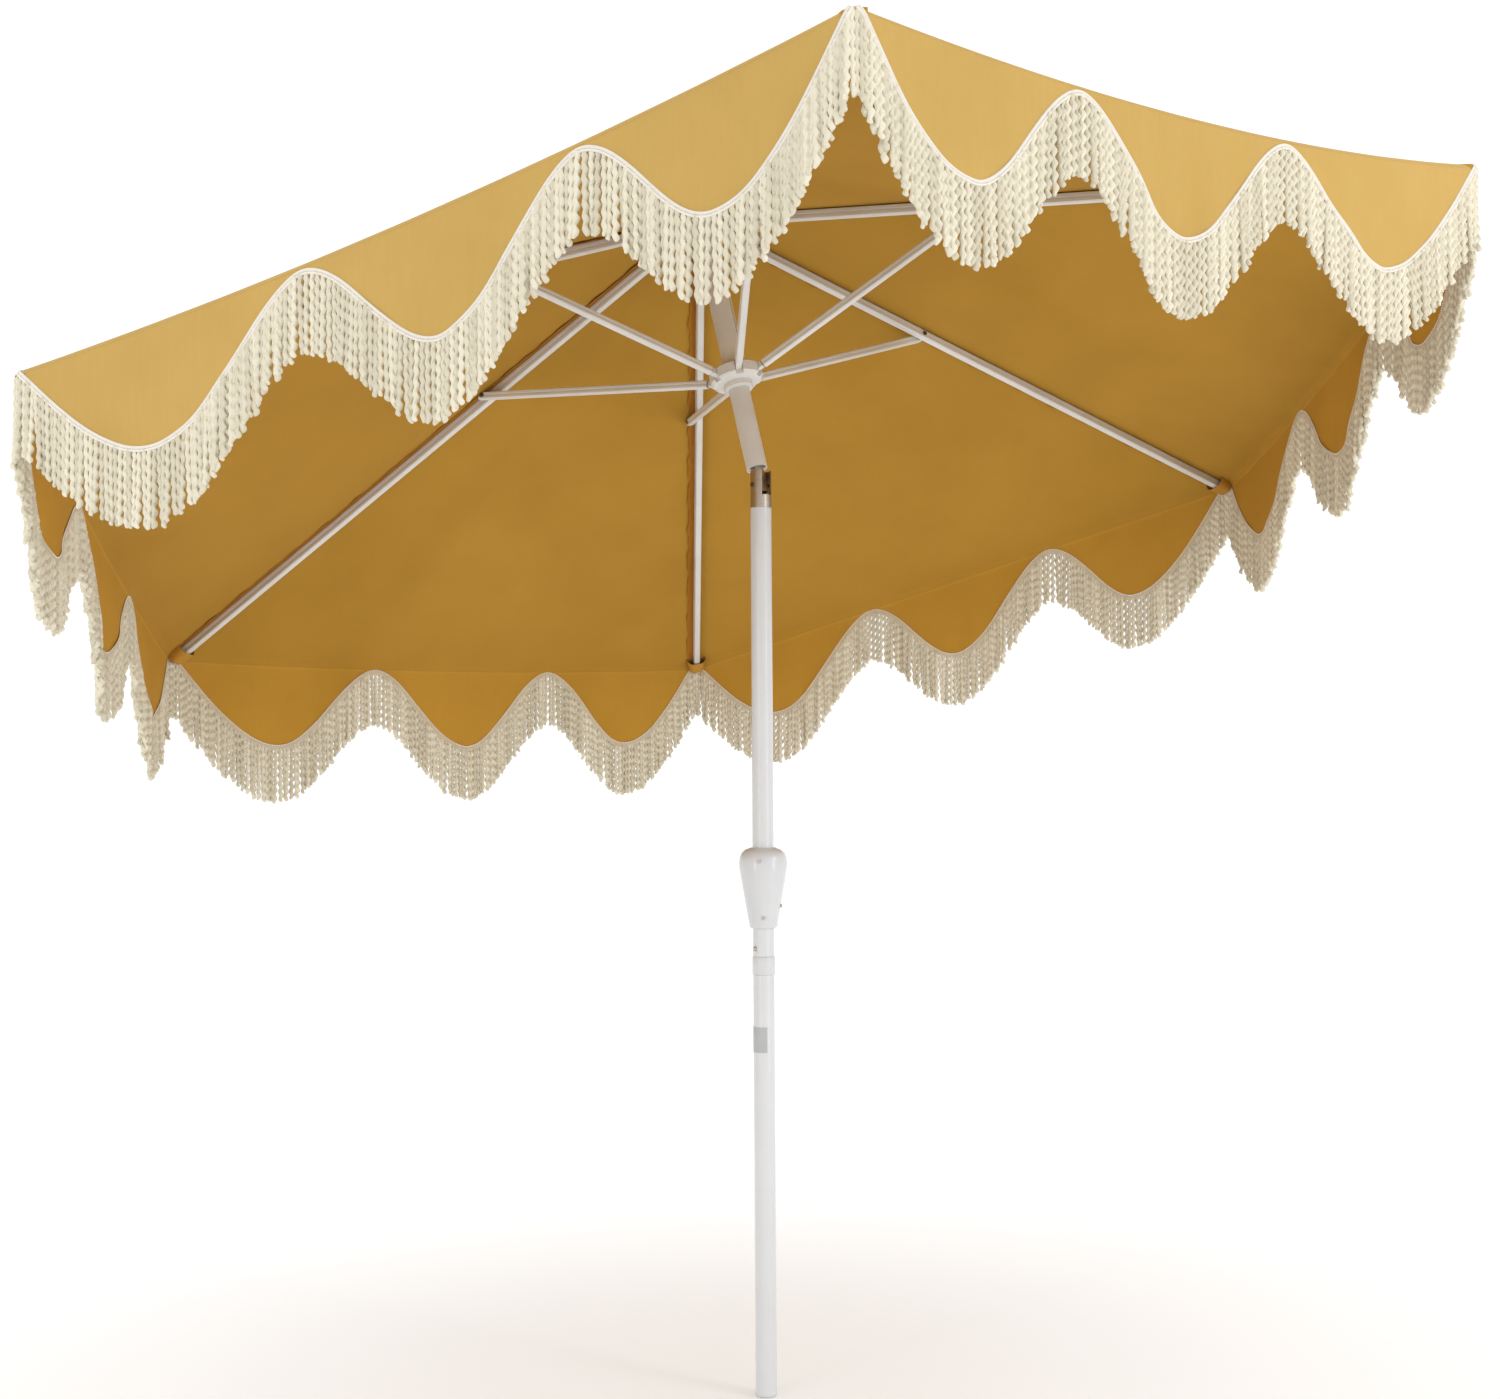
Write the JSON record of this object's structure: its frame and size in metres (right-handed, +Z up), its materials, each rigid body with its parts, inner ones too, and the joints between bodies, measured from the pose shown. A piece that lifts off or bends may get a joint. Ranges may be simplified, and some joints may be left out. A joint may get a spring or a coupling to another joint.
{
  "type": "patio umbrella",
  "caption": "Six-rib tilting crank-lift market umbrella with a fringed, scalloped valance on a round two-piece pole.",
  "frame": {"origin": "centre of the pole foot's flat bottom face", "axes": "+Z up the lower pole; the tilt pin is parallel to X; the open canopy leans towards +Y; rib_1 points along +X and the others follow counter-clockwise every 60 degrees"},
  "size_m": [2.6526, 2.1635, 2.1982],
  "materials": {
    "white_paint": "smooth satin powder coat",
    "white_plastic": "moulded, glossy",
    "bare_steel": "plain plated steel, faint drawing marks",
    "yellow_cloth": "plain-weave polyester, matt",
    "cream_fringe": "twisted cotton bullion fringe and woven braid",
    "blank_label": "satin film sticker, blank",
    "braided_cord": "braided polyester cord"
  },
  "bodies": {
    "root": {"foot_plug": "white_plastic", "lower_pole": "white_paint", "coupling_collar": "white_plastic", "middle_pole": "white_paint", "snap_spring": "bare_steel", "label_sticker": "blank_label", "crank_housing_front": "white_plastic", "crank_housing_back": "white_plastic", "housing_screw_upper": "bare_steel", "housing_screw_lower": "bare_steel", "housing_screw_side": "bare_steel", "tilt_sleeve": "bare_steel", "tilt_pivot_pin": "bare_steel", "lift_cord_lower": "braided_cord"},
    "snap_button": {"snap_button": "bare_steel"},
    "tilt_button": {"tilt_button": "bare_steel"},
    "crank": {"winding_shaft": "bare_steel", "crank_arm": "white_plastic"},
    "crank_knob": {"crank_knob": "white_plastic"},
    "upper_mast": {"tilt_tongue": "bare_steel", "upper_pole": "white_paint", "crown_hub": "white_plastic", "crown_wire": "bare_steel", "crown_cap": "white_plastic", "finial": "white_plastic", "pulley_pin": "bare_steel", "lift_cord_inner": "braided_cord"},
    "pulley": {"pulley": "white_plastic"},
    "runner": {"runner_hub": "white_plastic", "lift_cord_outer": "braided_cord"},
    "rib_1": {"rib_1": "white_paint", "strut_rivet_1": "bare_steel"},
    "rib_2": {"rib_2": "white_paint", "strut_rivet_2": "bare_steel"},
    "rib_3": {"rib_3": "white_paint", "strut_rivet_3": "bare_steel"},
    "rib_4": {"rib_4": "white_paint", "strut_rivet_4": "bare_steel"},
    "rib_5": {"rib_5": "white_paint", "strut_rivet_5": "bare_steel"},
    "rib_6": {"rib_6": "white_paint", "strut_rivet_6": "bare_steel"},
    "strut_1": {"strut_1": "white_paint"},
    "strut_2": {"strut_2": "white_paint"},
    "strut_3": {"strut_3": "white_paint"},
    "strut_4": {"strut_4": "white_paint"},
    "strut_5": {"strut_5": "white_paint"},
    "strut_6": {"strut_6": "white_paint"},
    "gore_1": {"gore_1": "yellow_cloth"},
    "gore_2": {"gore_2": "yellow_cloth"},
    "gore_3": {"gore_3": "yellow_cloth"},
    "gore_4": {"gore_4": "yellow_cloth"},
    "gore_5": {"gore_5": "yellow_cloth"},
    "gore_6": {"gore_6": "yellow_cloth"},
    "valance_1": {"valance_1": "cream_fringe"},
    "valance_2": {"valance_2": "cream_fringe"},
    "valance_3": {"valance_3": "cream_fringe"},
    "valance_4": {"valance_4": "cream_fringe"},
    "valance_5": {"valance_5": "cream_fringe"},
    "valance_6": {"valance_6": "cream_fringe"}
  },
  "joints": [
    {"name": "canopy_tilt", "type": "hinge", "parent": "root", "child": "upper_mast", "pos_m": [0, 0, 1.631], "axis": [1, 0, 0], "range_deg": [0, 19.2]},
    {"name": "runner_slide", "type": "slide", "parent": "upper_mast", "child": "runner", "axis": [0, -0.3289, -0.9444], "range_m": [0, 0.14], "deforming": ["lift_cord_outer"]},
    {"name": "rib_hinge_1", "type": "hinge", "parent": "upper_mast", "child": "rib_1", "pos_m": [0.04, 0.17289, 2.12748], "axis": [0, 0.9444, -0.3289], "range_deg": [-0.5, 65.16]},
    {"name": "rib_hinge_2", "type": "hinge", "parent": "upper_mast", "child": "rib_2", "pos_m": [0.02, 0.20561, 2.11609], "axis": [-0.866, 0.4722, -0.1644], "range_deg": [-0.5, 65.16]},
    {"name": "rib_hinge_3", "type": "hinge", "parent": "upper_mast", "child": "rib_3", "pos_m": [-0.02, 0.20561, 2.11609], "axis": [-0.866, -0.4722, 0.1644], "range_deg": [-0.5, 65.16]},
    {"name": "rib_hinge_4", "type": "hinge", "parent": "upper_mast", "child": "rib_4", "pos_m": [-0.04, 0.17289, 2.12748], "axis": [0, -0.9444, 0.3289], "range_deg": [-0.5, 65.16]},
    {"name": "rib_hinge_5", "type": "hinge", "parent": "upper_mast", "child": "rib_5", "pos_m": [-0.02, 0.14018, 2.13888], "axis": [0.866, -0.4722, 0.1644], "range_deg": [-0.5, 65.16]},
    {"name": "rib_hinge_6", "type": "hinge", "parent": "upper_mast", "child": "rib_6", "pos_m": [0.02, 0.14018, 2.13888], "axis": [0.866, 0.4722, -0.1644], "range_deg": [-0.5, 65.16]},
    {"name": "strut_hinge_1", "type": "hinge", "parent": "rib_1", "child": "strut_1", "pos_m": [0.502, 0.11958, 1.97437], "axis": [0, 0.9444, -0.3289], "range_deg": [-135.67, 0.5]},
    {"name": "strut_hinge_2", "type": "hinge", "parent": "rib_2", "child": "strut_2", "pos_m": [0.251, 0.53014, 1.8314], "axis": [-0.866, 0.4722, -0.1644], "range_deg": [-135.67, 0.5]},
    {"name": "strut_hinge_3", "type": "hinge", "parent": "rib_3", "child": "strut_3", "pos_m": [-0.251, 0.53014, 1.8314], "axis": [-0.866, -0.4722, 0.1644], "range_deg": [-135.67, 0.5]},
    {"name": "strut_hinge_4", "type": "hinge", "parent": "rib_4", "child": "strut_4", "pos_m": [-0.502, 0.11958, 1.97437], "axis": [0, -0.9444, 0.3289], "range_deg": [-135.67, 0.5]},
    {"name": "strut_hinge_5", "type": "hinge", "parent": "rib_5", "child": "strut_5", "pos_m": [-0.251, -0.29099, 2.11735], "axis": [0.866, -0.4722, 0.1644], "range_deg": [-135.67, 0.5]},
    {"name": "strut_hinge_6", "type": "hinge", "parent": "rib_6", "child": "strut_6", "pos_m": [0.251, -0.29099, 2.11735], "axis": [0.866, 0.4722, -0.1644], "range_deg": [-135.67, 0.5]},
    {"name": "gore_hinge_1", "type": "hinge", "parent": "upper_mast", "child": "gore_1", "pos_m": [0.0435, 0.19888, 2.12573], "axis": [-0.5, 0.8179, -0.2848], "range_deg": [-0.5, 62.44], "deforming": ["gore_1"]},
    {"name": "gore_hinge_2", "type": "hinge", "parent": "upper_mast", "child": "gore_2", "pos_m": [0, 0.22259, 2.11747], "axis": [-1, 0, 0], "range_deg": [-0.5, 62.44], "deforming": ["gore_2"]},
    {"name": "gore_hinge_3", "type": "hinge", "parent": "upper_mast", "child": "gore_3", "pos_m": [-0.0435, 0.19888, 2.12573], "axis": [-0.5, -0.8179, 0.2848], "range_deg": [-0.5, 62.44], "deforming": ["gore_3"]},
    {"name": "gore_hinge_4", "type": "hinge", "parent": "upper_mast", "child": "gore_4", "pos_m": [-0.0435, 0.15144, 2.14224], "axis": [0.5, -0.8179, 0.2848], "range_deg": [-0.5, 62.44], "deforming": ["gore_4"]},
    {"name": "gore_hinge_5", "type": "hinge", "parent": "upper_mast", "child": "gore_5", "pos_m": [0, 0.12772, 2.1505], "axis": [1, 0, 0], "range_deg": [-0.5, 62.44], "deforming": ["gore_5"]},
    {"name": "gore_hinge_6", "type": "hinge", "parent": "upper_mast", "child": "gore_6", "pos_m": [0.0435, 0.15144, 2.14224], "axis": [0.5, 0.8179, -0.2848], "range_deg": [-0.5, 62.44], "deforming": ["gore_6"]},
    {"name": "valance_hinge_1", "type": "hinge", "parent": "gore_1", "child": "valance_1", "pos_m": [0.98475, 0.56691, 1.53015], "axis": [-0.5, 0.8179, -0.2848], "range_deg": [-58.56, 0.5], "deforming": ["valance_1"]},
    {"name": "valance_hinge_2", "type": "hinge", "parent": "gore_2", "child": "valance_2", "pos_m": [0, 1.10383, 1.34318], "axis": [-1, 0, 0], "range_deg": [-49.24, 0.5], "deforming": ["valance_2"]},
    {"name": "valance_hinge_3", "type": "hinge", "parent": "gore_3", "child": "valance_3", "pos_m": [-0.98475, 0.56691, 1.53015], "axis": [-0.5, -0.8179, 0.2848], "range_deg": [-58.56, 0.5], "deforming": ["valance_3"]},
    {"name": "valance_hinge_4", "type": "hinge", "parent": "gore_4", "child": "valance_4", "pos_m": [-0.98475, -0.50693, 1.9041], "axis": [0.5, -0.8179, 0.2848], "range_deg": [-78.32, 0.5], "deforming": ["valance_4"]},
    {"name": "valance_hinge_5", "type": "hinge", "parent": "gore_5", "child": "valance_5", "pos_m": [0, -1.04385, 2.09108], "axis": [1, 0, 0], "range_deg": [-87.64, 0.5], "deforming": ["valance_5"]},
    {"name": "valance_hinge_6", "type": "hinge", "parent": "gore_6", "child": "valance_6", "pos_m": [0.98475, -0.50693, 1.9041], "axis": [0.5, 0.8179, -0.2848], "range_deg": [-78.32, 0.5], "deforming": ["valance_6"]},
    {"name": "crank_spin", "type": "hinge", "parent": "root", "child": "crank", "pos_m": [0, 0, 0.877], "axis": [0.6157, 0.788, 0], "range_deg": [-5, 2982.7]},
    {"name": "crank_knob_spin", "type": "hinge", "parent": "crank", "child": "crank_knob", "pos_m": [0, 0, 0.792], "axis": [0.6157, 0.788, 0], "continuous": true},
    {"name": "pulley_spin", "type": "hinge", "parent": "upper_mast", "child": "pulley", "pos_m": [0.00814, 0.15407, 2.08773], "axis": [0.5, 0.8179, -0.2848], "range_deg": [-5, 2982.7]},
    {"name": "snap_button_press", "type": "slide", "parent": "root", "child": "snap_button", "axis": [1, 0, 0], "range_m": [0, 0.003], "stiffness_N_per_m": 600, "springref_m": -0.002, "deforming": ["snap_spring"]},
    {"name": "tilt_button_press", "type": "slide", "parent": "root", "child": "tilt_button", "axis": [0, -1, 0], "range_m": [0, 0.003], "stiffness_N_per_m": 600, "springref_m": -0.002}
  ],
  "couplings": [
    {"joint": "rib_hinge_1", "follows": "runner_slide", "rad_per_m": 8.0613},
    {"joint": "rib_hinge_2", "follows": "runner_slide", "rad_per_m": 8.0613},
    {"joint": "rib_hinge_3", "follows": "runner_slide", "rad_per_m": 8.0613},
    {"joint": "rib_hinge_4", "follows": "runner_slide", "rad_per_m": 8.0613},
    {"joint": "rib_hinge_5", "follows": "runner_slide", "rad_per_m": 8.0613},
    {"joint": "rib_hinge_6", "follows": "runner_slide", "rad_per_m": 8.0613},
    {"joint": "strut_hinge_1", "follows": "runner_slide", "rad_per_m": -16.851},
    {"joint": "strut_hinge_2", "follows": "runner_slide", "rad_per_m": -16.851},
    {"joint": "strut_hinge_3", "follows": "runner_slide", "rad_per_m": -16.851},
    {"joint": "strut_hinge_4", "follows": "runner_slide", "rad_per_m": -16.851},
    {"joint": "strut_hinge_5", "follows": "runner_slide", "rad_per_m": -16.851},
    {"joint": "strut_hinge_6", "follows": "runner_slide", "rad_per_m": -16.851},
    {"joint": "gore_hinge_1", "follows": "runner_slide", "rad_per_m": 7.722},
    {"joint": "gore_hinge_2", "follows": "runner_slide", "rad_per_m": 7.722},
    {"joint": "gore_hinge_3", "follows": "runner_slide", "rad_per_m": 7.722},
    {"joint": "gore_hinge_4", "follows": "runner_slide", "rad_per_m": 7.722},
    {"joint": "gore_hinge_5", "follows": "runner_slide", "rad_per_m": 7.722},
    {"joint": "gore_hinge_6", "follows": "runner_slide", "rad_per_m": 7.722},
    {"joint": "valance_hinge_1", "follows": "runner_slide", "rad_per_m": -7.2387},
    {"joint": "valance_hinge_2", "follows": "runner_slide", "rad_per_m": -6.0764},
    {"joint": "valance_hinge_3", "follows": "runner_slide", "rad_per_m": -7.2387},
    {"joint": "valance_hinge_4", "follows": "runner_slide", "rad_per_m": -9.7014},
    {"joint": "valance_hinge_5", "follows": "runner_slide", "rad_per_m": -10.864},
    {"joint": "valance_hinge_6", "follows": "runner_slide", "rad_per_m": -9.7014},
    {"joint": "crank_spin", "follows": "runner_slide", "rad_per_m": 371.21},
    {"joint": "pulley_spin", "follows": "runner_slide", "rad_per_m": 371.21}
  ]
}
